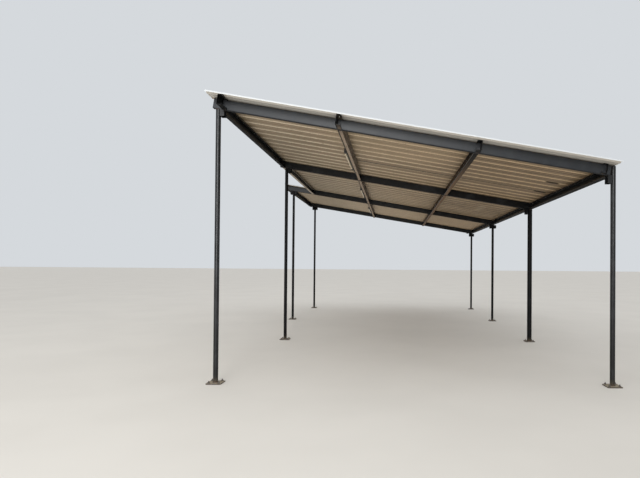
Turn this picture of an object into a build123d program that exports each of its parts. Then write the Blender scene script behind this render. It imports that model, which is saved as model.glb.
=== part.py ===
from build123d import *
import os
from math import cos, radians, sin, sqrt

# Open carport: a single-slope ribbed steel roof on a frame of lipped channels and pipe posts.
# Millimetres. +X runs down the roof slope, +Y from the entrance to the back, +Z up.
# The working frame has its zero on the floor, on the high side's line and the front row's.

# Layout of the posts and the frame
post_spacing_x = 4000.0
bay_length = 2930.0
bay_count = 3
roof_slope = 9.25
high_side_height = 2793.0

# The last bay is wider on the high side
annex_post_x = -455.0
annex_beam_x = -600.0
annex_rafter_end = 40.0

# Posts: steel pipe on square base plates, some of them a little off their line
post_diameter = 50.8
stout_post_diameter = 73.0
post_wall = 3.2
front_post_shift = 18.0
second_high_post_shift = 34.0
plate_side = 152.0
plate_thickness = 9.5
plate_corner = 8.0
anchor_spacing = 102.0
anchor_hole = 14.0

# Lipped channel of the rafters, beams and purlins, each bend as one flat facet
channel_depth = 101.6
channel_flange = 50.8
channel_lip = 15.9
channel_wall = 2.0
channel_bend = 3.5

# Plain channel off-cuts that seat the rafters beside the posts
cleat_width = 76.0
cleat_wall = 4.8
cleat_reach = 44.0
cleat_height = 78.0

# Lines of the long members, measured across the slope
high_beam_x = -20.0
high_purlin_x = 1220.0
low_purlin_x = 2625.0
low_beam_x = 3995.0
high_stub_x = 51.0
low_stub_x = 3905.0
rafter_end_high = 70.0

# How far the short ends of the long members stay behind the roof's front and back edges
stub_setback = 15.0
low_purlin_setback = 80.0
low_beam_setback = 150.0

# Ribbed roof sheets, each lapped over the one in front of it by one rib
front_overhang = 177.0
annex_overhang = 90.0
sheet_pitches = 4
rib_pitch = 228.6
sheet_thickness = 1.5
rib_height = 19.0
rib_base = 64.0
rib_crown = 22.0
minor_ribs = 2
minor_rib_height = 3.2
minor_rib_base = 40.0
minor_rib_crown = 20.0
lap_clearance = 0.3
eave_high = 85.0
eave_low = 10.0
eave_annex = 60.0

# Slim strip lamps beside the high purlin, one in each bay, held at both ends
lamp_offset = 1060.0
lamp_length = 1110.0
lamp_side = 24.0
lamp_edge = 7.0
lamp_standoff = 30.0
lamp_level = 22.0
holder_length = 70.0
holder_width = 40.0
holder_foot = 8.0
holder_top = 64.0

row_names = ("front", "second", "third", "back")
half_flange = channel_flange / 2
row_y = [bay_length * row for row in range(bay_count + 1)]
all_bays = list(range(bay_count))
first_annex_row = bay_count - 1
roof_pitches = round((row_y[-1] + 2 * front_overhang) / rib_pitch)
roof_start = (row_y[-1] - rib_pitch * roof_pitches) / 2
narrow_pitches = int((row_y[first_annex_row] - annex_overhang - roof_start) // rib_pitch)
roof_front = roof_start - rib_base / 2
roof_back = roof_start + rib_pitch * roof_pitches + rib_base / 2
wide_front = roof_front + rib_pitch * narrow_pitches
slope_cos = cos(radians(roof_slope))
slope_sin = sin(radians(roof_slope))
low_beam_face = low_beam_x + half_flange * slope_cos
roof_frame = Location((0, 0, high_side_height), (0, roof_slope, 0))


def along_slope(x):
    """Distance down the slope, on the underside of the frame, of the point above x."""
    return x / slope_cos


def underside(x):
    """Height of the underside of the frame above the floor at x."""
    return high_side_height - x * slope_sin / slope_cos


def under_roof(solid, level):
    """The piece of an upright solid under a plane that lies at a level above the frame's underside."""
    cut = Plane(roof_frame * Location((0, 0, level)))
    return split(solid, bisect_by=cut, keep=Keep.BOTTOM)


def lipped_channel(open_side):
    """Channel section as deep as its second axis, standing on zero, its lips on the open side."""
    width, depth = channel_flange - 2 * channel_wall, channel_depth - 2 * channel_wall
    inner_bend = channel_bend - channel_wall * (2 - sqrt(2))
    outside = chamfer(Rectangle(channel_flange, channel_depth).vertices(), channel_bend)
    inside = chamfer(Rectangle(width, depth).vertices(), inner_bend)
    mouth = Pos(half_flange, 0) * Rectangle(channel_flange, channel_depth - 2 * channel_lip)
    section = outside - inside - mouth
    if open_side < 0:
        section = mirror(section, about=Plane.YZ)
    return Pos(0, channel_depth / 2) * section


def rafter(y, x_from, x_to):
    """Channel down the slope at y, web to the front, between two places on the frame's underside."""
    start = along_slope(x_from)
    bar = extrude(Plane.YZ * lipped_channel(1), amount=along_slope(x_to) - start)
    return roof_frame * Pos(start, y, 0) * bar


def long_member(x, y_from, y_to, open_side):
    """Channel along the carport, centred on x, from one end to the other."""
    bar = extrude(Plane.XZ * lipped_channel(open_side), amount=y_from - y_to)
    return roof_frame * Pos(along_slope(x), y_from, 0) * bar


def line_of_members(x, open_side, bays, stub_x, front, first_gap=half_flange):
    """One line of channels: a piece in each bay, between the rafters, and the short ends past them."""
    pieces = []
    for bay in bays:
        y_from = row_y[bay] + (first_gap if bay == 0 else half_flange)
        pieces.append(long_member(x, y_from, row_y[bay + 1] - half_flange, open_side))
    pieces.append(long_member(stub_x, front, row_y[bays[0]] - half_flange, open_side))
    if bays[-1] == all_bays[-1]:
        pieces.append(long_member(stub_x, row_y[-1] + half_flange, roof_back - stub_setback, open_side))
    return pieces


def post(x, y, diameter, level):
    """Pipe from its base plate up to a level above the frame's underside, cut along the slope."""
    length = underside(x) + 2 * channel_depth - plate_thickness
    pipe = extrude(Circle(diameter / 2) - Circle(diameter / 2 - post_wall), amount=length)
    return under_roof(Pos(x, y, plate_thickness) * pipe, level)


def base_plate(x, y):
    """Square plate with clipped corners and four anchor holes."""
    outline = chamfer(Rectangle(plate_side, plate_side).vertices(), plate_corner)
    holes = GridLocations(anchor_spacing, anchor_spacing, 2, 2) * Circle(anchor_hole / 2)
    return Pos(x, y) * extrude(outline - holes, amount=plate_thickness)


def cleat(x, y, side, diameter):
    """Upright channel off-cut with its web on one side of a post and its top under the rafter."""
    outside = Pos(cleat_reach / 2, 0) * Rectangle(cleat_reach, cleat_width)
    hollow = Pos(cleat_wall + cleat_reach / 2, 0) * Rectangle(cleat_reach, cleat_width - 2 * cleat_wall)
    section = Pos(diameter / 2, 0) * (outside - hollow)
    if side < 0:
        section = mirror(section, about=Plane.YZ)
    off_cut = Pos(x, y, underside(x) - cleat_height) * extrude(section, amount=2 * cleat_height)
    return under_roof(off_cut, 0)


def rib(centre, base, crown, height, lift=0.0):
    """Four corners of a trapezoid rib. A lift raises it along its flanks, as a lap over another rib."""
    spread = base / 2 + lift * (base - crown) / 2 / height
    start = (centre - base / 2, lift) if lift else (centre - spread, 0)
    return [start, (centre - crown / 2, height + lift), (centre + crown / 2, height + lift), (centre + spread, 0)]


def in_sheets(pitches):
    """Whole sheets for a stretch of roof, and a narrower last one for the pitches that are left."""
    whole, rest = divmod(pitches, sheet_pitches)
    return [sheet_pitches] * whole + [rest] * (rest > 0)


def sheet_section(pitches, first):
    """Section of a sheet along the carport, with its first rib raised over the sheet in front."""
    lift = 0 if first else sheet_thickness + lap_clearance
    under = rib(0, rib_base, rib_crown, rib_height, lift)
    for pitch in range(pitches):
        centre = pitch * rib_pitch
        for minor in range(minor_ribs):
            place = centre + rib_pitch * (minor + 1) / (minor_ribs + 1)
            under += rib(place, minor_rib_base, minor_rib_crown, minor_rib_height)
        under += rib(centre + rib_pitch, rib_base, rib_crown, rib_height)
    over = [(y, w + sheet_thickness) for y, w in reversed(under)]
    return make_face(Polyline(*under, *over, close=True))


def roof_sheet(y, pitches, first, x_from):
    """One sheet from its first rib at y, laid on the frame with its ribs down the slope."""
    start = along_slope(x_from)
    length = along_slope(post_spacing_x + eave_low) - start
    sheet = extrude(Plane.YZ * sheet_section(pitches, first), amount=length)
    return roof_frame * Pos(start, y, channel_depth) * sheet


def strip_lamp(y):
    """Slim lamp with bevelled lower edges, held off the high purlin's web at both ends."""
    holder = Pos(-holder_width / 2, (holder_foot + holder_top) / 2) * Rectangle(holder_width, holder_top - holder_foot)
    tube = Rectangle(lamp_side, lamp_side)
    tube = chamfer(tube.vertices().sort_by(Axis.Y)[:2], lamp_edge)
    tube = Pos(-lamp_standoff, lamp_level) * tube
    ends = [Pos(0, y + place, 0) for place in (0, lamp_length - holder_length)]
    lamp = extrude(Plane.XZ * tube, amount=-lamp_length)
    lamp = Pos(0, y, 0) * lamp
    for end in ends:
        lamp += end * extrude(Plane.XZ * holder, amount=-holder_length)
    return roof_frame * Pos(along_slope(high_purlin_x) - half_flange, 0, 0) * lamp


nodes = {}
for row, name in enumerate(row_names):
    annex = row >= first_annex_row
    high_name = f"{name}_annex" if annex else f"{name}_high"
    high_x = annex_post_x if annex else (-front_post_shift, second_high_post_shift)[row]
    low_x = post_spacing_x + (front_post_shift if row == 0 else 0)
    low_size = stout_post_diameter if row == 1 else post_diameter
    top = channel_depth if row == 0 else 0
    for post_name, x, size, sides, level in (
        (high_name, high_x, post_diameter, (-1, 1) if annex else (1,), 0),
        (f"{name}_low", low_x, low_size, (-1, 1) if annex else (-1,), top),
    ):
        nodes[f"{post_name}_post"] = [post(x, row_y[row], size, level)]
        nodes[f"{post_name}_base_plate"] = [base_plate(x, row_y[row])]
        nodes[f"{post_name}_cleat"] = [cleat(x, row_y[row], side, size) for side in sides]
    high_end = annex_beam_x - annex_rafter_end if annex else -rafter_end_high
    low_end = low_x - post_diameter / 2 - channel_depth * slope_sin if row == 0 else low_beam_face
    nodes[f"{name}_rafter"] = [rafter(row_y[row], high_end, low_end)]

front = roof_front + stub_setback
nodes["high_beam"] = line_of_members(high_beam_x, 1, all_bays[:-1], high_stub_x, front)
nodes["high_purlin"] = line_of_members(high_purlin_x, 1, all_bays, high_purlin_x, front)
nodes["low_purlin"] = line_of_members(low_purlin_x, -1, all_bays, low_purlin_x, roof_front + low_purlin_setback)
nodes["low_beam"] = line_of_members(
    low_beam_x, -1, all_bays, low_stub_x, roof_front + low_beam_setback, first_gap=post_diameter / 2
)
nodes["annex_beam"] = line_of_members(
    annex_beam_x, 1, all_bays[-1:], annex_beam_x, wide_front + stub_setback
)

sheet_y = roof_start
narrow_sheets = in_sheets(narrow_pitches)
for index, pitches in enumerate(narrow_sheets + in_sheets(roof_pitches - narrow_pitches)):
    wide = index >= len(narrow_sheets)
    x_from = annex_beam_x - eave_annex if wide else high_beam_x - eave_high
    nodes[f"roof_sheet_{index + 1:02d}"] = [roof_sheet(sheet_y, pitches, index == 0, x_from)]
    sheet_y += rib_pitch * pitches
nodes["strip_lamps"] = [strip_lamp(y + lamp_offset) for y in row_y[:-1]]

whole = Compound([solid for pieces in nodes.values() for piece in pieces for solid in piece.solids()])
box = whole.bounding_box()
origin = Pos(-(box.min.X + box.max.X) / 2, -(box.min.Y + box.max.Y) / 2, -box.min.Z)

os.makedirs("parts", exist_ok=True)
for name, pieces in nodes.items():
    solids = [origin * solid for piece in pieces for solid in piece.solids()]
    export_step(Compound(solids) if len(solids) > 1 else solids[0], f"parts/{name}.step")
print(len(nodes), "nodes, box", box.min, box.max)
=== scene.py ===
from collections import namedtuple
from math import cos, pi, radians, sin, tan

import bpy
import numpy as np
from mathutils import Matrix, Vector


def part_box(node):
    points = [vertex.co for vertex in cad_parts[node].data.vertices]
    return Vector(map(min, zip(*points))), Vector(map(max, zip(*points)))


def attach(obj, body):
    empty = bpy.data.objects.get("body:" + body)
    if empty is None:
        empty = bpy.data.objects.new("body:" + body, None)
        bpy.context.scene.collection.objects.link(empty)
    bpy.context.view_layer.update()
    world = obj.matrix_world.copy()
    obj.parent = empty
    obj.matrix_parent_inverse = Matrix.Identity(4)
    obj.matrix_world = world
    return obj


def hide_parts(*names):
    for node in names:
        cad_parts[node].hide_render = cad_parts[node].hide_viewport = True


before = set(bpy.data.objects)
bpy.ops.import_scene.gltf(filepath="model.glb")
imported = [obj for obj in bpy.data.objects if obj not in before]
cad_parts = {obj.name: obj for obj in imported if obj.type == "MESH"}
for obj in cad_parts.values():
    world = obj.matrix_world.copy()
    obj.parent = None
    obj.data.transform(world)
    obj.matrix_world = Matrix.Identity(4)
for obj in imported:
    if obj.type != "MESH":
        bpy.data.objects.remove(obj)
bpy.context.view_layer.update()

# A free-standing carport: a single-slope roof of ribbed steel sheets on a frame of black channels and
# pipe posts, three bays long, the last bay wider on the high side. Sizes are in metres, as the part's
# source has them. X runs to the low side, Y from the front to the back, and Z up.

# Posts, their base plates and their cleats
BAY = 2.930
POST_SPACING = 4.000
ANNEX_POST = -0.455
FRONT_POST_SHIFT = 0.018
SECOND_HIGH_POST_SHIFT = 0.034
POST_RADIUS = 0.0254
STOUT_POST_RADIUS = 0.0365
PLATE = 0.0095
ANCHOR_SPACING = 0.102
CLEAT_WALL, CLEAT_HEIGHT = 0.0048, 0.078

# Channels: the frame's slope and height, their section, and their lines across the carport
SLOPE = radians(9.25)
HIGH_SIDE = 2.793
CHANNEL_DEPTH = 0.1016
HALF_FLANGE = 0.0254
HIGH_BEAM, HIGH_STUB = -0.020, 0.051
HIGH_PURLIN = 1.220
LOW_PURLIN = 2.625
LOW_BEAM, LOW_STUB = 3.995, 3.905
ANNEX_BEAM = -0.600

# Roof sheets: the ribs are counted in pitches from the middle of the first one
RIB_PITCH = 0.2286
RIB_HEIGHT = 0.019
SHEET = 0.0015
LAP_LIFT = 0.0018
ROOF_START = -0.177
RIBS = 40
NARROW_PITCHES = 26
PITCHES_A_SHEET = 4
BESIDE_RIB = 0.044

# Strip lamps, and the holders at their ends
LAMP_OFFSET, LAMP_LENGTH, LAMP_SIDE, LAMP_EDGE = 1.060, 1.110, 0.024, 0.007
LAMP_STANDOFF, LAMP_LEVEL = 0.030, 0.022
HOLDER_LENGTH, HOLDER_WIDTH, HOLDER_FOOT, HOLDER_TOP = 0.070, 0.040, 0.008, 0.064

# Each long member: its line, its open side, its bays and the line of its short ends past the rafters
Member = namedtuple("Member", "line open_side bays stub_line")
MEMBERS = {
    "high_beam": Member(HIGH_BEAM, 1, (0, 1), HIGH_STUB),
    "high_purlin": Member(HIGH_PURLIN, 1, (0, 1, 2), HIGH_PURLIN),
    "low_purlin": Member(LOW_PURLIN, -1, (0, 1, 2), LOW_PURLIN),
    "low_beam": Member(LOW_BEAM, -1, (0, 1, 2), LOW_STUB),
    "annex_beam": Member(ANNEX_BEAM, 1, (2,), ANNEX_BEAM),
}

# Working axes have their zero on the floor, on the high side's post line and the front row's
nearest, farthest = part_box("back_low_post")
ZERO_X = (nearest.x + farthest.x) / 2 - POST_SPACING
ZERO_Y = (nearest.y + farthest.y) / 2 - 3 * BAY
ROWS = [row * BAY for row in range(4)]

# Marks of use on the roof's underside, and the line of a painted shadow along one lap: places and half
# lengths in x and y, on the working axes
NESTS, NEST_REACH = ((3.800, 1.216), (3.850, 1.905)), (0.105, 0.030)
WASHED, WASHED_REACH = (3.460, 4.400), (0.090, 0.500)
PALE_DUST, PALE_DUST_REACH = (1.750, 0.750), (1.000, 0.900)
LAP_SHADOW_LINE = 1.880

# How high splashed dust and rust reach on the posts' feet
SPLASH_TOP, FOOT_RUST_TOP = 0.085, 0.035

# A brush's marks are 1 or 2 mm wide; drawn 9 mm wide and 90 mm long, so that they show at all
MARKS_UP, MARKS_DOWN_SLOPE, MARKS_ALONG = (9, 9, 90), (90, 9, 9), (9, 90, 9)

# Weld beads: steps round a post and along a seam, points round a bead, and the length of a ripple
RING_STEPS, SEAM_STEPS, BEAD_SIDES, BEAD_RIPPLE = 144, 56, 8, 0.0045


# Places on the frame


def underside(x):
    """Height of the frame's underside above the floor at x."""
    return HIGH_SIDE - x * tan(SLOPE)


def on_roof(u, y, w):
    """Points at u down the slope, y along the carport and w square to the slope, above the frame's
    underside: x is u cos(slope) + w sin(slope), and z is w cos(slope) - u sin(slope) up from the
    high side."""
    u, y, w = np.broadcast_arrays(*(np.asarray(value, float) for value in (u, y, w)))
    x = ZERO_X + u * cos(SLOPE) + w * sin(SLOPE)
    return np.stack([x, y + ZERO_Y, HIGH_SIDE - u * sin(SLOPE) + w * cos(SLOPE)], -1)


def upright(x, y, z):
    """Points over x and y, on the working axes, at a height z above the floor."""
    x, y, z = np.broadcast_arrays(*(np.asarray(value, float) for value in (x, y, z)))
    return np.stack([x + ZERO_X, y + ZERO_Y, z], -1)


# Surfaces


def turned(profile, sides, corners=0, flat=1.0):
    """Rings round +Z through the (radius, height) pairs of a profile. With corners, a ring's radius
    is at most flat / cos(angle from the middle of the nearest flat), which is a polygon's outline."""
    angle = np.arange(sides) * 2 * pi / sides
    radius, height = np.array(profile, float).T[:, :, None]
    if corners:
        off = (angle + pi / corners) % (2 * pi / corners) - pi / corners
        radius = np.minimum(radius, flat / np.cos(off))
    rings = [radius * np.cos(angle), radius * np.sin(angle), height + 0 * angle]
    return np.stack(np.broadcast_arrays(*rings), -1)


def set_out(form, places, turn=np.eye(3)):
    """Copies of a form, each point p of it at place + turn p."""
    return (form @ np.asarray(turn).T)[None] + places[:, None, None, :]


def bead(centres, across, radius, closed=False):
    """Weld beads along rows of centres: a ring of points round each centre, at the radius times
    1 + 0.1 |sin(pi length so far / ripple)|. At open ends, where t is -1 and 1, that is multiplied
    by the square root of 1.02 - t^8, which rounds the end off."""
    step = np.roll(centres, -1, 1) - centres if closed else np.gradient(centres, axis=1)
    length = np.linalg.norm(step, axis=-1, keepdims=True)
    along = step / length
    across = across - along * (across * along).sum(-1, keepdims=True)
    across = across / np.linalg.norm(across, axis=-1, keepdims=True)
    third = np.cross(along, across)
    swell = 1 + 0.1 * np.abs(np.sin(pi * np.cumsum(length, 1) / BEAD_RIPPLE))
    if not closed:
        t = np.linspace(-1, 1, centres.shape[1])[None, :, None]
        swell = swell * np.sqrt(1.02 - np.abs(t) ** 8)
    angle = np.arange(BEAD_SIDES) * 2 * pi / BEAD_SIDES
    ring = np.cos(angle)[:, None] * across[:, :, None] + np.sin(angle)[:, None] * third[:, :, None]
    return centres[:, :, None] + (radius * swell)[:, :, None] * ring


def straight(starts, ends):
    """Rows of points (1-t) start + t end, with t evenly spaced from 0 to 1."""
    t = np.linspace(0, 1, SEAM_STEPS)[None, :, None]
    return starts[:, None] * (1 - t) + ends[:, None] * t


def softened(outline, radius, steps=4):
    """A closed outline with each corner c replaced by the curve (1-t)^2 a + 2t(1-t) c + t^2 b, where
    a and b lie on its two sides at the radius from it."""
    corner = np.array(outline, float)
    back = np.roll(corner, 1, 0) - corner
    on = np.roll(corner, -1, 0) - corner
    a = corner + radius * back / np.linalg.norm(back, axis=-1, keepdims=True)
    b = corner + radius * on / np.linalg.norm(on, axis=-1, keepdims=True)
    t = np.linspace(0, 1, steps)[None, :, None]
    curve = (1 - t) ** 2 * a[:, None] + 2 * t * (1 - t) * corner[:, None] + t**2 * b[:, None]
    return curve.reshape(-1, 2)


def moulding(outline, y_from, length, edge):
    """An outline in (u, w) carried along the carport. At both ends it is drawn in by edge (1 - sin t)
    at the distance edge (1 - cos t) from the end, a quarter circle, as moulded ends are."""
    turn = np.linspace(0, pi / 2, 4)
    inset = edge * np.concatenate([1 - np.sin(turn), 1 - np.sin(turn[::-1])])
    place = np.concatenate([edge * (1 - np.cos(turn)), length - edge * (1 - np.cos(turn[::-1]))])
    middle = outline.mean(0)
    reach = np.abs(outline - middle).max(0)
    section = middle + (outline - middle)[None] * (1 - inset[:, None, None] / reach)
    grid = on_roof(section[..., 0], y_from + place[:, None], section[..., 1])
    return grid[::-1][None]


def faces_over(first, copies, rows, columns, closed):
    """Faces over grids that close round their columns, their points counted from the first: a quad
    between neighbours, and either the last row joined to the first or a many-sided face at each end."""
    start = first + np.arange(copies)[:, None, None] * rows * columns
    row = np.arange(rows if closed else rows - 1)[None, :, None]
    column = np.arange(columns)[None, None, :]
    below, above = row * columns, (row + 1) % rows * columns
    beside = (column + 1) % columns
    corners = [below + column, below + beside, above + beside, above + column]
    quads = np.stack(np.broadcast_arrays(*(start + corner for corner in corners)), -1)
    faces = quads.reshape(-1, 4).tolist()
    if not closed:
        ends = start[:, 0] + np.arange(columns)
        faces += ends[:, ::-1].tolist() + (ends + (rows - 1) * columns).tolist()
    return faces


def piece(name, grids, material, closed=False, smooth_under=40):
    """One piece of the object from grids of points, riding on the frame, with its finish's slot.
    Edges are smooth where they turn by less than the angle smooth_under, in degrees."""
    points, faces, count = [], [], 0
    for grid in grids:
        copies, rows, columns = grid.shape[:3]
        faces += faces_over(count, copies, rows, columns, closed)
        points.append(grid.reshape(-1, 3))
        count += copies * rows * columns
    mesh = bpy.data.meshes.new(name)
    mesh.from_pydata(np.concatenate(points).tolist(), [], faces)
    mesh.materials.append(material)
    mesh.shade_smooth()
    mesh.set_sharp_from_angle(angle=radians(smooth_under))
    made = bpy.data.objects.new(name, mesh)
    bpy.context.scene.collection.objects.link(made)
    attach(made, "root")
    return made


# Material tools


def hex_colour(code):
    """An sRGB hex colour as linear values."""
    value = np.array([int(code[i : i + 2], 16) for i in (1, 3, 5)]) / 255
    linear = np.where(value <= 0.04045, value / 12.92, ((value + 0.055) / 1.055) ** 2.4)
    return (*linear.tolist(), 1.0)


def add(tree, kind, sockets=(), **settings):
    """Adds a node with its settings; each socket gets a value, or a link where another node's output
    is given. Returns the node's outputs."""
    node = tree.nodes.new("ShaderNode" + kind)
    for name, value in settings.items():
        setattr(node, name, value)
    for socket, value in dict(sockets).items():
        if isinstance(value, bpy.types.NodeSocket):
            tree.links.new(value, node.inputs[socket])
        else:
            node.inputs[socket].default_value = value
    return node.outputs


def patches(tree, place, size_mm, start, full, detail=3.0, rough=0.55):
    """Mask of irregular patches of a real size in millimetres, or of one along each of x, y and z,
    from 0 where the noise is below start to 1 where it is above full."""
    scale = 1000 / np.broadcast_to(size_mm, 3)
    at = add(tree, "VectorMath", {0: place, 1: scale}, operation="MULTIPLY")[0]
    noise = add(tree, "TexNoise", {"Vector": at, "Scale": 1.0, "Detail": detail, "Roughness": rough})
    sockets = {"Value": noise["Fac"], "From Min": start, "From Max": full}
    return add(tree, "MapRange", sockets, interpolation_type="SMOOTHSTEP")[0]


def band(tree, value, start, full):
    """Mask that goes from 0 at start to 1 at full, smoothly, in either direction."""
    low, high = (start, full) if start < full else (full, start)
    ends = (0.0, 1.0) if start < full else (1.0, 0.0)
    sockets = {"Value": value, "From Min": low, "From Max": high, "To Min": ends[0], "To Max": ends[1]}
    return add(tree, "MapRange", sockets, interpolation_type="SMOOTHSTEP")[0]


def blot(tree, place, centre, reach):
    """Mask of an oval mark seen from above or below, round a centre on the working axes, with its half
    lengths along x and y: 1 where the scaled distance from the centre is under 0.6, 0 where over 1."""
    off = add(tree, "VectorMath", {0: place, 1: upright(*centre, 0.0)}, operation="SUBTRACT")[0]
    scale = (1 / reach[0], 1 / reach[1], 0.0)
    scaled = add(tree, "VectorMath", {0: off, 1: scale}, operation="MULTIPLY")[0]
    return band(tree, add(tree, "VectorMath", {0: scaled}, operation="LENGTH")["Value"], 1.0, 0.6)


def times(tree, *masks):
    """Product of masks and plain numbers."""
    product = masks[0]
    for mask in masks[1:]:
        product = add(tree, "Math", {0: product, 1: mask}, operation="MULTIPLY")[0]
    return product


def largest(tree, *masks):
    """The largest of some masks."""
    found = masks[0]
    for mask in masks[1:]:
        found = add(tree, "Math", {0: found, 1: mask}, operation="MAXIMUM")[0]
    return found


def coats(tree, base, *layers):
    """Colours laid one over another on a base: each layer is a hex colour and its mask."""
    shade = hex_colour(base)
    for code, mask in layers:
        shade = add(tree, "Mix", {0: mask, 6: shade, 7: hex_colour(code)}, data_type="RGBA")[2]
    return shade


def surface(name, **plain):
    """A new material: its tree, its shader with its plain values set on its own sockets, the object's
    coordinates and the way the surface faces."""
    made = bpy.data.materials.new(name)
    made.use_nodes = True
    tree = made.node_tree
    shader = tree.nodes["Principled BSDF"]
    for socket, value in plain.items():
        shader.inputs[socket.replace("_", " ")].default_value = value
    place = add(tree, "TexCoord")["Object"]
    facing = add(tree, "SeparateXYZ", {0: add(tree, "NewGeometry")["Normal"]})
    return made, tree, shader, place, facing


def wire(tree, shader, colour, roughness, height, depth_mm):
    """Links a colour, a roughness and a height, whose full range is a real depth, to the shader."""
    tree.links.new(colour, shader.inputs["Base Color"])
    tree.links.new(roughness, shader.inputs["Roughness"])
    bump = add(tree, "Bump", {"Height": height, "Strength": 1.0, "Distance": depth_mm / 1000})
    tree.links.new(bump[0], shader.inputs["Normal"])


# Materials


def satin_enamel(
    name,
    marks_mm,
    base="#101112",
    chalked="#2c2e30",
    below=None,
    worn=(),
    soiled_foot=False,
    gloss=0.34,
    sheen=0.25,
):
    """Black satin enamel brushed on steel: a soft broad highlight with faint brush marks along the
    member, greyed chalky patches, tan dust on what faces up, and a few specks of rust through it.
    What faces down is dull with soot. below is the colour of a bottom that is worn to its primer, and
    worn limits that wear, with pairs of an axis and the places on it where the wear starts and is
    full. A soiled foot has splashed dust and rust just above the floor. gloss is the roughness of
    the enamel where it isn't chalky, and sheen the strength of its highlight."""
    made, tree, shader, place, facing = surface(name, IOR=1.45, Specular_IOR_Level=sheen)
    along = add(tree, "SeparateXYZ", {0: place})
    upward = band(tree, facing["Z"], 0.2, 0.9)
    downward = band(tree, facing["Z"], -0.5, -0.9)
    chalk = patches(tree, place, 130, 0.45, 0.72)
    specks = patches(tree, place, 9, 0.72, 0.80, detail=4)
    marks = patches(tree, place, marks_mm, 0.2, 0.8, detail=2)
    dust = times(tree, upward, patches(tree, place, 30, 0.2, 0.7), 0.85)
    layers = [(chalked, times(tree, chalk, 0.6))]
    if below:
        wear = downward
        for axis, limits in worn:
            wear = times(tree, wear, band(tree, along[axis], *limits))
        bare = patches(tree, place, (30, 160, 30), 0.10, 0.50, detail=5)
        flakes = patches(tree, place, (14, 50, 14), 0.45, 0.75, detail=4)
        layers.append((below, times(tree, wear, bare, 0.95)))
        layers.append(("#5a4d42", times(tree, wear, flakes, 0.5)))
    layers.append(("#8f8371", dust))
    layers.append(("#5d3a26", times(tree, specks, 0.8)))
    if soiled_foot:
        splashed = patches(tree, place, (10, 10, 24), 0.2, 0.8, detail=5)
        rusted = patches(tree, place, 14, 0.40, 0.7, detail=4)
        near_floor = band(tree, along["Z"], SPLASH_TOP, 0.0)
        at_floor = band(tree, along["Z"], FOOT_RUST_TOP, 0.012)
        layers.append(("#83765f", times(tree, near_floor, splashed, 0.5)))
        layers.append(("#5f3d28", times(tree, at_floor, rusted, 0.55)))
    brushed = add(tree, "MapRange", {"Value": chalk, "To Min": gloss, "To Max": gloss + 0.06})[0]
    sooty = times(tree, downward, 0.5)
    dulled = add(tree, "Math", {0: brushed, 1: sooty}, operation="ADD", use_clamp=True)[0]
    wire(tree, shader, coats(tree, base, *layers), dulled, marks, 0.05)
    return made


def roof_top(tree, place, x, y, spangle):
    """Colour of the roof's top: a dull silver with a fine spangle, dirt lying along the feet of the
    ribs, faint water streaks down the slope and rust run from the screws. The front flank of the
    first rib is painted near white: a painted highlight, for the light that it catches."""
    across = add(tree, "Math", {0: y, 1: ZERO_Y + ROOF_START}, operation="SUBTRACT")[0]
    from_rib = add(tree, "Math", {0: across, 1: RIB_PITCH / 2}, operation="PINGPONG")[0]
    beside = add(tree, "Math", {0: across, 1: BESIDE_RIB}, operation="SUBTRACT")[0]
    from_screw = add(tree, "Math", {0: beside, 1: RIB_PITCH / 2}, operation="PINGPONG")[0]
    streaks = patches(tree, place, (1600, 50, 1600), 0.48, 0.72)
    dulled = patches(tree, place, 500, 0.40, 0.70)
    gathered = patches(tree, place, (400, 30, 400), 0.30, 0.62)
    # Dirt lies along the feet of each rib, from 29 to 56 mm beside its middle
    foot = times(tree, band(tree, from_rib, 0.029, 0.034), band(tree, from_rib, 0.056, 0.038), gathered)
    uneven = patches(tree, place, (900, 160, 900), 0.42, 0.62)
    run_from = times(tree, band(tree, from_screw, 0.013, 0.003), uneven)
    rust_runs = []
    for member in MEMBERS.values():
        # Rust runs from just above each line of screws to about 340 mm below it
        below = add(tree, "Math", {0: x, 1: ZERO_X + member.line}, operation="SUBTRACT")[0]
        fading = times(tree, band(tree, below, -0.012, 0.006), band(tree, below, 0.34, 0.02))
        rust_runs.append(times(tree, fading, run_from))
    return coats(
        tree,
        "#d0d3d4",
        ("#b9bec1", times(tree, spangle, 0.30)),
        ("#b3b0a8", times(tree, dulled, 0.35)),
        ("#a09688", times(tree, streaks, 0.30)),
        ("#857a69", times(tree, foot, 0.60)),
        ("#7d5b40", times(tree, largest(tree, *rust_runs), 0.55)),
        # Painted highlight: the front flank of the first rib, near white, for the light that it catches
        ("#e8eaea", band(tree, across, -0.006, -0.012)),
    )


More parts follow.
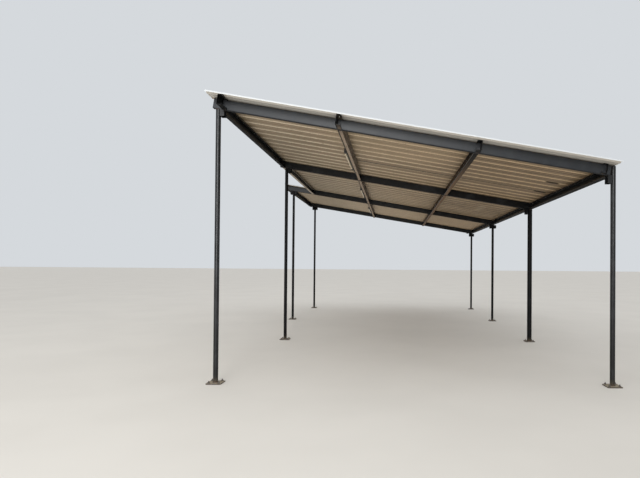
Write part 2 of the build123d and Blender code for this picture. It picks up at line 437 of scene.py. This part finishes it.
def roof_underside(tree, place, facing, x, y):
    """Colour of the roof's underside: metal coloured tan, the tan in part a painted reflection of the
    ground, with tones that differ at random. Painted light makes the flanks of the ribs lighter than
    the flats, for the light that they catch, and the overhang pale, for the light from the open front.
    A painted reflection makes it darker and warmer to the low side, painted shade makes the second bay
    greyer and darker, and painted light makes the last one paler. It is darker towards the high beam
    in the first bay, with a pale stretch behind the front rafter. A painted shadow lies along one lap,
    two old mud nests are near the low beam, and one place is washed where rain came through."""
    clouds = patches(tree, place, (900, 500, 900), 0.35, 0.70)
    dappled = patches(tree, place, (700, 130, 700), 0.46, 0.66, detail=4)
    stains = patches(tree, place, (420, 60, 420), 0.50, 0.70, detail=5)
    film = patches(tree, place, (260, 90, 260), 0.20, 0.60, detail=4)
    blooms = patches(tree, place, (70, 40, 70), 0.64, 0.74, detail=5)
    grime = patches(tree, place, 16, 0.30, 0.75, detail=5)

    # Parts of the roof, each from and to a place on the frame's lines and rows
    # Painted light: the flanks of the ribs, which face along the carport, are painted lighter than the
    # flats, for the light that they catch
    sideways = add(tree, "Math", {0: facing["Y"]}, operation="ABSOLUTE")[0]
    flank = times(tree, band(tree, sideways, 0.10, 0.55), band(tree, film, -0.9, 0.9))
    # Painted light: the overhang in front of the front rafter is painted pale, for the light from the open
    # front
    overhang = band(tree, y, ZERO_Y + 0.02, ZERO_Y - 0.05)
    # Painted reflection: the underside is painted warmer towards the low side, and darker and warmer on
    # the low side itself, for the warm surroundings it reflects
    warm_reflection = band(tree, x, ZERO_X + 0.3, ZERO_X + 3.6)
    low_side_reflection = band(tree, x, ZERO_X + LOW_PURLIN - 0.5, ZERO_X + LOW_PURLIN + 0.6)
    toward_high_beam = band(tree, x, ZERO_X + HIGH_PURLIN - 0.1, ZERO_X + 0.1)
    high_side = times(tree, toward_high_beam, band(tree, y, ZERO_Y + 0.2, ZERO_Y + 1.8))
    # Painted shade and light: the second bay, deepest under the roof, is painted greyer and darker, and
    # the last bay, open at the back and beside the wider annex, paler
    third_row = ZERO_Y + ROWS[2]
    before_third_row = band(tree, y, third_row - 0.02, third_row - 0.08)
    past_second_row = band(tree, y, ZERO_Y + BAY, ZERO_Y + BAY + 0.01)
    second_bay_shade = times(tree, past_second_row, before_third_row, band(tree, clouds, -0.6, 1.0))
    last_bay_light = band(tree, y, third_row - 0.08, third_row - 0.02)

    # Marks of use, and a painted shadow along one lap
    pale_dust = blot(tree, place, PALE_DUST, PALE_DUST_REACH)
    washed = times(tree, blot(tree, place, WASHED, WASHED_REACH), grime)
    nests = largest(tree, *(blot(tree, place, nest, NEST_REACH) for nest in NESTS))
    # Painted shadow: a dark line along the lapped edge of one sheet, from the high purlin to the low side
    seam_y = ZERO_Y + LAP_SHADOW_LINE
    seam = times(
        tree,
        band(tree, y, seam_y - 0.060, seam_y - 0.045),
        band(tree, y, seam_y + 0.035, seam_y + 0.020),
        band(tree, x, ZERO_X + HIGH_PURLIN, ZERO_X + HIGH_PURLIN + 0.05),
    )
    return coats(
        tree,
        "#988368",
        ("#7f7157", times(tree, clouds, 0.6)),
        ("#a88c77", times(tree, dappled, 0.5)),
        ("#62574a", times(tree, stains, 0.35)),
        ("#52422c", times(tree, low_side_reflection, 0.60)),
        ("#5f5443", times(tree, second_bay_shade, 0.30)),
        ("#b9a58b", times(tree, last_bay_light, 0.7)),
        ("#80603c", times(tree, warm_reflection, 0.35)),
        ("#ebddc6", times(tree, flank, 0.9)),
        ("#dcb785", times(tree, flank, warm_reflection, 0.50)),
        ("#4a4132", times(tree, high_side, 0.30)),
        ("#4e3c26", times(tree, low_side_reflection, 0.12)),
        ("#3d3324", times(tree, second_bay_shade, low_side_reflection, 0.30)),
        ("#d2bb9a", times(tree, pale_dust, 0.30)),
        ("#b5a78d", times(tree, washed, 0.8)),
        ("#75674f", times(tree, grime, 0.30)),
        ("#6e5138", times(tree, blooms, 0.40)),
        ("#d9d6d0", times(tree, overhang, 0.9)),
        ("#2a2017", times(tree, seam, 0.9)),
        ("#1f1913", times(tree, nests, 0.9)),
    )


def bare_sheet():
    """Roll-formed steel sheet, bare zinc-aluminium: a dull silver above, with a painted highlight at
    the front edge, and below a tan film, partly painted light and shade, that leaves only part of the
    metal's shine. A fine spangle breaks the light up on both sides."""
    made, tree, shader, place, facing = surface("zinc_aluminium_sheet_roll_formed", Specular_IOR_Level=0.2)
    x, y, _ = add(tree, "SeparateXYZ", {0: place})
    top = band(tree, facing["Z"], -0.1, 0.1)
    # The real spangle is about 3 mm across; drawn at 7 mm, so that it shows at all
    grain = add(tree, "TexVoronoi", {"Vector": place, "Scale": 1000 / 7})["Color"]
    spangle = add(tree, "SeparateXYZ", {0: grain})["X"]
    underside_stains_and_painted_light = roof_underside(tree, place, facing, x, y)
    silver = roof_top(tree, place, x, y, spangle)
    shade = add(tree, "Mix", {0: top, 6: underside_stains_and_painted_light, 7: silver}, data_type="RGBA")[2]
    metal = add(tree, "MapRange", {"Value": top, "To Min": 0.45, "To Max": 0.6})[0]
    gloss = add(tree, "MapRange", {"Value": top, "To Min": 0.50, "To Max": 0.58})[0]
    tree.links.new(metal, shader.inputs["Metallic"])
    wire(tree, shader, shade, gloss, spangle, 0.02)
    return made


def base_plate_finish():
    """Black enamel on hot-rolled plate under splashed dust: the top is a matt tan film with darker worn
    places and grit, and the sides stay nearly black with rust at the floor."""
    made, tree, shader, place, facing = surface("dusty_black_enamel_on_plate")
    top = band(tree, facing["Z"], 0.3, 0.9)
    worn = patches(tree, place, 70, 0.46, 0.72, detail=5)
    grit = patches(tree, place, 5, 0.35, 0.75)
    height = add(tree, "SeparateXYZ", {0: place})["Z"]
    rust = times(tree, band(tree, height, 0.007, 0.001), patches(tree, place, 25, 0.35, 0.6))
    shade = coats(
        tree,
        "#262524",
        ("#6a4429", times(tree, rust, 0.6)),
        ("#92866f", times(tree, top, 0.85)),
        ("#5a5246", times(tree, worn, top, 0.55)),
        ("#b0a48e", times(tree, grit, top, 0.35)),
    )
    gloss = add(tree, "MapRange", {"Value": top, "To Min": 0.45, "To Max": 0.8})[0]
    wire(tree, shader, shade, gloss, grit, 0.3)
    return made


def plain_finish(name, base, over, patch_mm, roughness, metallic=0.0, share=0.5):
    """A finish of one colour with shallow patches of a second one, of a real size, that are rougher
    and cover it by a share."""
    made, tree, shader, place, _ = surface(name, Metallic=metallic)
    mask = patches(tree, place, patch_mm, 0.4, 0.68, detail=4)
    gloss = add(tree, "MapRange", {"Value": mask, "To Min": roughness, "To Max": roughness + 0.2})[0]
    wire(tree, shader, coats(tree, base, (over, times(tree, mask, share))), gloss, mask, 0.05)
    return made


# Enamel on the two front posts, out in the light: a clean narrow highlight down each pipe
front_post_enamel = satin_enamel(
    "black_satin_enamel_on_pipe", MARKS_UP, soiled_foot=True, gloss=0.31, sheen=0.42
)
# Enamel on the posts under the roof: painted shade, blacker than on the front posts, and duller, with
# hardly a highlight
shaded_post_enamel = satin_enamel(
    "black_satin_enamel_painted_shade_on_pipe",
    MARKS_UP,
    base="#0a0a0b",
    chalked="#1b1c1d",
    soiled_foot=True,
    gloss=0.42,
    sheen=0.12,
)
# Enamel on the rafters under the roof: black, with greyer chalky patches here and there
rafter_enamel = satin_enamel("black_satin_enamel_on_rafter", MARKS_DOWN_SLOPE)
# Enamel on the front rafter: painted light, an even dark grey lighter than the other rafters' black, for
# the light on its face from the open front; it is also duller
lit_front_rafter_enamel = satin_enamel(
    "black_satin_enamel_painted_light_on_front",
    MARKS_DOWN_SLOPE,
    base="#26292d",
    chalked="#323539",
    gloss=0.42,
    sheen=0.38,
)
# Enamel on the low beam and the annex beam, black all round
beam_enamel = satin_enamel("black_satin_enamel_on_beam", MARKS_ALONG)
# Enamel on the high beam, its bottom worn to a pale primer behind the second row
high_beam_enamel = satin_enamel(
    "black_satin_enamel_worn_to_primer_beam",
    MARKS_ALONG,
    below="#bcb1a3",
    worn=[("Y", (ZERO_Y + BAY, ZERO_Y + BAY + 0.01))],
)
# Enamel on the high purlin, the low half of its bottom worn to primer, which draws a pale line
high_purlin_enamel = satin_enamel(
    "black_satin_enamel_worn_to_primer_high",
    MARKS_ALONG,
    below="#b19f8c",
    worn=[
        ("X", (ZERO_X + HIGH_PURLIN - 0.016, ZERO_X + HIGH_PURLIN - 0.004)),
        ("Y", (ZERO_Y - 0.3, ZERO_Y + 0.3)),
    ],
)
# Enamel on the low purlin, its bottom worn to a browner primer, more and more behind the front row
low_purlin_enamel = satin_enamel(
    "black_satin_enamel_worn_to_primer_low",
    MARKS_ALONG,
    below="#7d654f",
    worn=[("Y", (ZERO_Y, ZERO_Y + 2.2))],
)
plate_enamel = base_plate_finish()
sheet_steel = bare_sheet()
# Weld beads under the same enamel: each ripple catches a point of light, with rust in between
weld_steel = plain_finish("enamelled_weld_bead", "#2b2b2c", "#6b452d", 9, 0.45)
# Zinc plating on the roof screws: bright dots on the dull roof, greyed with dust in places
zinc_steel = plain_finish("zinc_plated_steel_screw", "#b4b6b5", "#8d8271", 6, 0.38, metallic=1.0)
# Zinc plating on the anchors, near the floor: a dull grey, with patches of brown rust
anchor_steel = plain_finish(
    "zinc_plated_steel_anchor_soiled", "#6f6c67", "#5c4231", 7, 0.5, metallic=0.7, share=0.6
)
# Moulded rubber of the screws' seals: a matt near-black ring with a grey bloom
seal_rubber = plain_finish("neoprene_rubber_moulded", "#2a2b2b", "#4b4a47", 4, 0.7)
# Extruded acrylic of the diffusers: a smooth milky cream, yellowed in soft patches
diffuser_plastic = plain_finish("opal_acrylic_extruded_yellowed", "#f1e3c8", "#d9b98a", 60, 0.32)
# Extruded plastic of the lamps' bodies: an off-white that dust has made grey in places
lamp_body_plastic = plain_finish("white_pvc_extruded_soiled", "#cdc8bd", "#9c907c", 40, 0.45)
# Moulded plastic of the lamps' holders: a soft black with patches of dust
holder_plastic = plain_finish("black_abs_moulded", "#2b2a29", "#4a4641", 14, 0.5)

by_ending = {
    "_post": shaded_post_enamel,
    "_cleat": shaded_post_enamel,
    "_base_plate": plate_enamel,
    "_rafter": rafter_enamel,
}
by_name = {
    "front_high_post": front_post_enamel,
    "front_low_post": front_post_enamel,
    "front_high_cleat": front_post_enamel,
    "front_low_cleat": front_post_enamel,
    "front_rafter": lit_front_rafter_enamel,
    "high_beam": high_beam_enamel,
    "high_purlin": high_purlin_enamel,
    "low_purlin": low_purlin_enamel,
    "low_beam": beam_enamel,
    "annex_beam": beam_enamel,
    "strip_lamps": diffuser_plastic,
}
for name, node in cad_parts.items():
    by_kind = (finish for ending, finish in by_ending.items() if name.endswith(ending))
    finish = by_name.get(name) or next(by_kind, sheet_steel)
    for held in node.material_slots:
        held.material = finish


# Posts

# Each one's place and radius, the sides that its cleats are on, and whether it ends under its rafter:
# the front low one rises past its rafter's end to the roof
Post = namedtuple("Post", "x y radius cleat_sides under_rafter")
posts = []
for row, row_y in enumerate(ROWS):
    annex = row >= 2
    high_x = ANNEX_POST if annex else (-FRONT_POST_SHIFT, SECOND_HIGH_POST_SHIFT)[row]
    low_x = POST_SPACING + (FRONT_POST_SHIFT if row == 0 else 0)
    low_radius = STOUT_POST_RADIUS if row == 1 else POST_RADIUS
    posts.append(Post(high_x, row_y, POST_RADIUS, (-1, 1) if annex else (1,), True))
    posts.append(Post(low_x, row_y, low_radius, (-1, 1) if annex else (-1,), row > 0))


# Anchors

# Four threaded studs with washers and nuts on each base plate. A stud starts a little below the
# plate's top, and its tip is drawn in
STUD_RADIUS, STUD_TOP, STUD_SINK = 0.006, 0.032, 0.004
THREAD_PITCH, THREAD_DEPTH, TIP_DEPTH, TIP_LENGTH = 0.00175, 0.0011, 0.0012, 0.0015
WASHER_HEIGHT, NUT_HEIGHT = 0.0025, 0.0100


def threaded_stud():
    """A stud round +Z. Its radius falls by the thread's depth times |2 f - 1|, where f is the fraction
    of z / pitch - angle / 2 pi, so that the crest is a helix, and by the tip's depth at the tip."""
    angle = np.arange(16) * 2 * pi / 16
    z = np.linspace(PLATE - STUD_SINK, STUD_TOP, 40)[:, None]
    wave = np.abs((z / THREAD_PITCH - angle / (2 * pi)) % 1 * 2 - 1)
    tip = 1 - np.clip((STUD_TOP - z) / TIP_LENGTH, 0.0, 1.0)
    radius = STUD_RADIUS - THREAD_DEPTH * wave - TIP_DEPTH * tip
    return np.stack(np.broadcast_arrays(radius * np.cos(angle), radius * np.sin(angle), z), -1)


def bevelled_ring(hole, face, rim, height, bevel):
    """Profile of a flat ring with bevelled outer edges, out over its lower face, up its rim and back
    over its upper face."""
    return [(hole, 0), (face, 0), (rim, bevel), (rim, height - bevel), (face, height), (hole, height)]


half = ANCHOR_SPACING / 2
around_post = [(-half, -half), (-half, half), (half, -half), (half, half)]
stud_x, stud_y = np.array([(post.x + dx, post.y + dy) for post in posts for dx, dy in around_post]).T
washer_profile = bevelled_ring(hole=0.0068, face=0.0120, rim=0.0125, height=WASHER_HEIGHT, bevel=0.0005)
nut_profile = bevelled_ring(hole=0.0062, face=0.0092, rim=0.0108, height=NUT_HEIGHT, bevel=0.0012)
washer = turned(washer_profile, 24)
nut = turned(nut_profile, 24, corners=6, flat=0.0095)
studs = set_out(threaded_stud(), upright(stud_x, stud_y, 0.0))
washers = set_out(washer, upright(stud_x, stud_y, PLATE))
nuts = set_out(nut, upright(stud_x, stud_y, PLATE + WASHER_HEIGHT))
piece("anchor_studs", [studs], anchor_steel)
piece("anchor_washers", [washers], anchor_steel, closed=True)
piece("anchor_nuts", [nuts], anchor_steel, closed=True)


# Welds


def ring_welds(name, welded, off, height, radius):
    """A bead round each welded post: its centres are (x + r cos t, y + r sin t) with t once round,
    where r is the post's radius and a little off it, at a height that is a function of their x."""
    t = np.arange(RING_STEPS) * 2 * pi / RING_STEPS
    outwards = np.stack([np.cos(t), np.sin(t), 0 * t], -1)
    centres = []
    for post in welded:
        reach = post.radius + off
        around = post.x + reach * np.cos(t)
        centres.append(upright(around, post.y + reach * np.sin(t), height(around)))
    grid = bead(np.array(centres), outwards[None], radius, closed=True)
    piece(name, [grid], weld_steel, closed=True, smooth_under=70)


def seam_welds(name, seams, radius):
    """Straight beads from seams, each a start, an end and the way that its first point faces."""
    starts, ends, across = (np.array(column) for column in zip(*seams))
    grid = bead(straight(starts, ends), across[:, None], radius)
    piece(name, [grid], weld_steel, smooth_under=70)


# Round the foot of each post, and round the top of each that ends under its rafter, on the slope
under_rafter = [post for post in posts if post.under_rafter]
ring_welds("post_foot_welds", posts, off=0.0008, height=lambda x: PLATE + 0.0010, radius=0.0040)
ring_welds(
    "post_top_welds", under_rafter, off=0.0006, height=lambda x: underside(x) - 0.0012, radius=0.0034
)

# Up both sides of each post at its cleats, a little inside the pipe's outline and short of the
# cleat's foot and the rafter, and across the cleats' webs, just off them and below the rafter
CLEAT_BEAD, SEAM_INSET, SEAM_OFF, SEAM_FOOT, SEAM_HEAD = 0.0036, 0.0022, 0.0125, 0.005, 0.006
WEB_OFF, WEB_REACH, WEB_DROP = 0.0010, 0.022, 0.0012
seams = []
for x, y, radius, sides, _ in posts:
    for side in sides:
        seam_x = x + side * (radius - SEAM_INSET)
        foot_z = underside(x) - CLEAT_HEIGHT + SEAM_FOOT
        head_z = underside(seam_x) - SEAM_HEAD
        for way in (-1, 1):
            foot, head = (upright(seam_x, y + way * SEAM_OFF, z) for z in (foot_z, head_z))
            seams.append((foot, head, (0.0, way, 0.0)))
        web_x = x + side * (radius + CLEAT_WALL + WEB_OFF)
        web_z = underside(web_x) - WEB_DROP
        web_ends = [upright(web_x, y + reach, web_z) for reach in (-WEB_REACH, WEB_REACH)]
        seams.append((*web_ends, (side, 0.0, 0.0)))
seam_welds("cleat_welds", seams, CLEAT_BEAD)

# Up the webs of the beams and purlins, most of their height, and across their bottom flanges, just
# off the rafters, the webs and the flanges
FRAME_BEAD, RAFTER_OFF, LINE_WEB_OFF, FLANGE_OFF = 0.0032, 0.0006, 0.0004, 0.0002
WEB_START, WEB_END, FLANGE_REACH = 0.006, CHANNEL_DEPTH - 0.008, 0.021
seams = []
for line, open_side, bays, stub_line in MEMBERS.values():
    joints = [(row, 1, line) for row in bays] + [(row + 1, -1, line) for row in bays]
    joints.append((bays[0], -1, stub_line))
    if bays[-1] == 2:
        joints.append((3, 1, stub_line))
    for row, side, x in joints:
        # In the first bay the low beam starts at the front low post, past its rafter's end
        if (row, side) == (0, 1) and line == LOW_BEAM:
            continue
        u, y = x / cos(SLOPE), ROWS[row] + side * (HALF_FLANGE + RAFTER_OFF)
        web = u - open_side * (HALF_FLANGE + LINE_WEB_OFF)
        flange_ends = [on_roof(u + reach, y, -FLANGE_OFF) for reach in (-FLANGE_REACH, FLANGE_REACH)]
        seams.append((on_roof(web, y, WEB_START), on_roof(web, y, WEB_END), (0.0, side, 0.0)))
        seams.append((*flange_ends, (0.0, side, 0.0)))
seam_welds("rafter_joint_welds", seams, FRAME_BEAD)


# Roof screws

# One in the flat beside each rib, on every line of members. Beside the first rib only the high
# purlin's line reaches as far
screws = []
for name, member in MEMBERS.items():
    first = {"high_purlin": 0, "annex_beam": NARROW_PITCHES}.get(name, 1)
    for pitch in range(first, RIBS):
        y = ROOF_START + pitch * RIB_PITCH + BESIDE_RIB
        if name != "high_beam" or y < ROWS[2] - HALF_FLANGE:
            screws.append((member.line / cos(SLOPE), y))

# Lap screws on the crown of each lapped rib, evenly spaced down the slope
LAP_INSET, NARROW_LAPS, WIDE_LAPS = 0.12, 8, 9
lap_screws = []
narrow_laps = range(PITCHES_A_SHEET, NARROW_PITCHES, PITCHES_A_SHEET)
wide_laps = range(NARROW_PITCHES, RIBS, PITCHES_A_SHEET)
for pitch in [*narrow_laps, *wide_laps]:
    wide = pitch > NARROW_PITCHES
    highest = ANNEX_BEAM if wide else LAP_INSET
    for u in np.linspace(highest, POST_SPACING - LAP_INSET, WIDE_LAPS if wide else NARROW_LAPS):
        lap_screws.append((u / cos(SLOPE), ROOF_START + pitch * RIB_PITCH))

screw_places = on_roof(*np.array(screws).T, CHANNEL_DEPTH + SHEET)
lap_places = on_roof(*np.array(lap_screws).T, CHANNEL_DEPTH + RIB_HEIGHT + LAP_LIFT + SHEET)
all_places = np.concatenate([screw_places, lap_places])
tilt = np.array(Matrix.Rotation(SLOPE, 3, "Y"))
# Hexagon head 8 mm across its flats on a 16 mm domed washer, over a seal squeezed to 1.7 mm
dome = turned([(0.0078, 0.0016), (0.0080, 0.0020)], 12)
hexagon = turned([(0.0046, 0.0032), (0.0046, 0.0066), (0.0040, 0.0074)], 12, corners=6, flat=0.0040)
seal = turned([(0.0070, 0.0), (0.0075, 0.0004), (0.0075, 0.0014), (0.0070, 0.0017)], 12)
tip = turned([(0.0008, -0.0155), (0.0020, -0.0110), (0.0024, -0.0100), (0.0024, -0.0030)], 6)
heads = set_out(np.concatenate([dome, hexagon]), all_places, tilt)
tips = set_out(tip, screw_places, tilt)
piece("roof_screws", [heads, tips], zinc_steel)
piece("roof_screw_seals", [set_out(seal, all_places, tilt)], seal_rubber)


# Strip lamps

# A diffuser under a body, held by two holders on the high purlin's web: the diffuser's height, how
# far it stands in from the body's sides, and how far the bar's ends stay inside the holders
SPLIT, STEP_IN, END_INSET = 0.013, 0.001, 0.004
web_u = HIGH_PURLIN / cos(SLOPE) - HALF_FLANGE
middle_u, low_w = web_u - LAMP_STANDOFF, LAMP_LEVEL - LAMP_SIDE / 2
high_side_u, low_side_u = middle_u - LAMP_SIDE / 2, middle_u + LAMP_SIDE / 2
split_w = low_w + SPLIT
diffuser = [
    (high_side_u + STEP_IN, split_w),
    (high_side_u + STEP_IN, low_w + LAMP_EDGE),
    (high_side_u + LAMP_EDGE, low_w),
    (low_side_u - LAMP_EDGE, low_w),
    (low_side_u - STEP_IN, low_w + LAMP_EDGE),
    (low_side_u - STEP_IN, split_w),
]
body = [
    (high_side_u, split_w - STEP_IN),
    (low_side_u, split_w - STEP_IN),
    (low_side_u, low_w + LAMP_SIDE),
    (high_side_u, low_w + LAMP_SIDE),
]
holder = [
    (web_u - HOLDER_WIDTH, HOLDER_FOOT),
    (web_u, HOLDER_FOOT),
    (web_u, HOLDER_TOP),
    (web_u - HOLDER_WIDTH, HOLDER_TOP),
]
diffusers, bodies, holders = [], [], []
for row_y in ROWS[:3]:
    y = row_y + LAMP_OFFSET
    bar_y, bar_length = y + END_INSET, LAMP_LENGTH - 2 * END_INSET
    diffusers.append(moulding(softened(diffuser, radius=0.0016), bar_y, bar_length, edge=0.0008))
    bodies.append(moulding(softened(body, radius=0.0012), bar_y, bar_length, edge=0.0008))
    for end in (0, LAMP_LENGTH - HOLDER_LENGTH):
        rounded = softened(holder, radius=0.006, steps=6)
        holders.append(moulding(rounded, y + end, HOLDER_LENGTH, edge=0.004))
lamp_pieces = [
    piece("lamp_diffusers", diffusers, diffuser_plastic),
    piece("lamp_bodies", bodies, lamp_body_plastic),
    piece("lamp_holders", holders, holder_plastic),
]
for lamp_piece in lamp_pieces:
    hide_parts("strip_lamps")


# Floor, light and camera

# Floor of floated plaster: matt and pale all over, with broad clouds so faint that it reads as even
FLOOR_REACH = 150.0
floor_corners = [(FLOOR_REACH * x, FLOOR_REACH * y, 0) for x, y in ((-1, -1), (1, -1), (1, 1), (-1, 1))]
ground = bpy.data.meshes.new("floor")
ground.from_pydata(floor_corners, [], [(0, 1, 2, 3)])
floor_finish, tree, shader, place, _ = surface("pale_plaster_floor", Roughness=0.9)
pale = coats(tree, "#d6d2ca", ("#d2cec6", patches(tree, place, 1500, 0.3, 0.7)))
tree.links.new(pale, shader.inputs["Base Color"])
ground.materials.append(floor_finish)
floor = bpy.data.objects.new("floor", ground)
bpy.context.scene.collection.objects.link(floor)

# Soft light from all round, and a pale grey where the camera or a reflection sees past the floor
world = bpy.data.worlds.new("pale_studio")
world.use_nodes = True
tree = world.node_tree
rays = add(tree, "LightPath")
seen = largest(tree, *(rays[f"Is {kind} Ray"] for kind in ("Camera", "Glossy", "Transmission")))
light, backdrop = hex_colour("#f2f3f5"), hex_colour("#d5d9dd")
sky = add(tree, "Mix", {0: seen, 6: light, 7: backdrop}, data_type="RGBA")[2]
tree.links.new(sky, tree.nodes["Background"].inputs["Color"])
tree.nodes["Background"].inputs["Strength"].default_value = 1.0
bpy.context.scene.world = world


def soft_light(name, place, target, size, watts, spread=180):
    """A rectangular area lamp at a place, turned so that it shines at a target. A spread under 180
    degrees is a grid in front of it, which keeps its light off the floor nearby."""
    lamp = bpy.data.lights.new(name, "AREA")
    lamp.shape, lamp.size, lamp.size_y, lamp.energy = "RECTANGLE", *size, watts
    lamp.spread = radians(spread)
    made = bpy.data.objects.new(name, lamp)
    made.location = place
    way = Vector([end - start for start, end in zip(place, target)])
    made.rotation_euler = way.to_track_quat("-Z", "Y").to_euler()
    bpy.context.scene.collection.objects.link(made)


# A large lamp high on the left, and a tall one far in front, at which the front edge and posts gleam
soft_light(
    "large_side_softbox",
    place=(-7.0, -13.0, 9.0),
    target=(0.0, -2.0, 1.5),
    size=(8.0, 8.0),
    watts=320.0,
)
soft_light(
    "tall_front_softbox",
    place=(-1.6, -17.0, 4.2),
    target=(-1.6, -4.4, 1.9),
    size=(4.6, 7.0),
    watts=170.0,
    spread=60,
)

# The photographed view: a nearly level camera 1.2 m up, its lens shifted a little. Its place is on
# the working axes, its turns are in radians and its lens is in pixels of a 640 by 478 image
CAMERA_PLACE = (1.78276, -4.91546, 1.20471)
YAW, PITCH, ROLL = 0.00358, 0.00925, 0.00785
FOCAL_PX, CENTRE_PX, FRAME_PX, SENSOR = 482.11, (391.53, 261.63), (640, 478), 36.0
view = bpy.data.cameras.new("photographed_view")
view.sensor_width = SENSOR
view.lens = FOCAL_PX / FRAME_PX[0] * SENSOR
view.shift_x = (FRAME_PX[0] / 2 - CENTRE_PX[0]) / FRAME_PX[0]
view.shift_y = (CENTRE_PX[1] - FRAME_PX[1] / 2) / FRAME_PX[0]
view.clip_end = 400.0
camera = bpy.data.objects.new("photographed_view", view)
aim = Matrix.Rotation(YAW, 4, "Z") @ Matrix.Rotation(pi / 2 + PITCH, 4, "X")
turns = aim @ Matrix.Rotation(ROLL, 4, "Z")
camera.matrix_world = Matrix.Translation(upright(*CAMERA_PLACE).tolist()) @ turns
bpy.context.scene.collection.objects.link(camera)
bpy.context.scene.camera = camera
bpy.context.scene.view_settings.view_transform = "Standard"
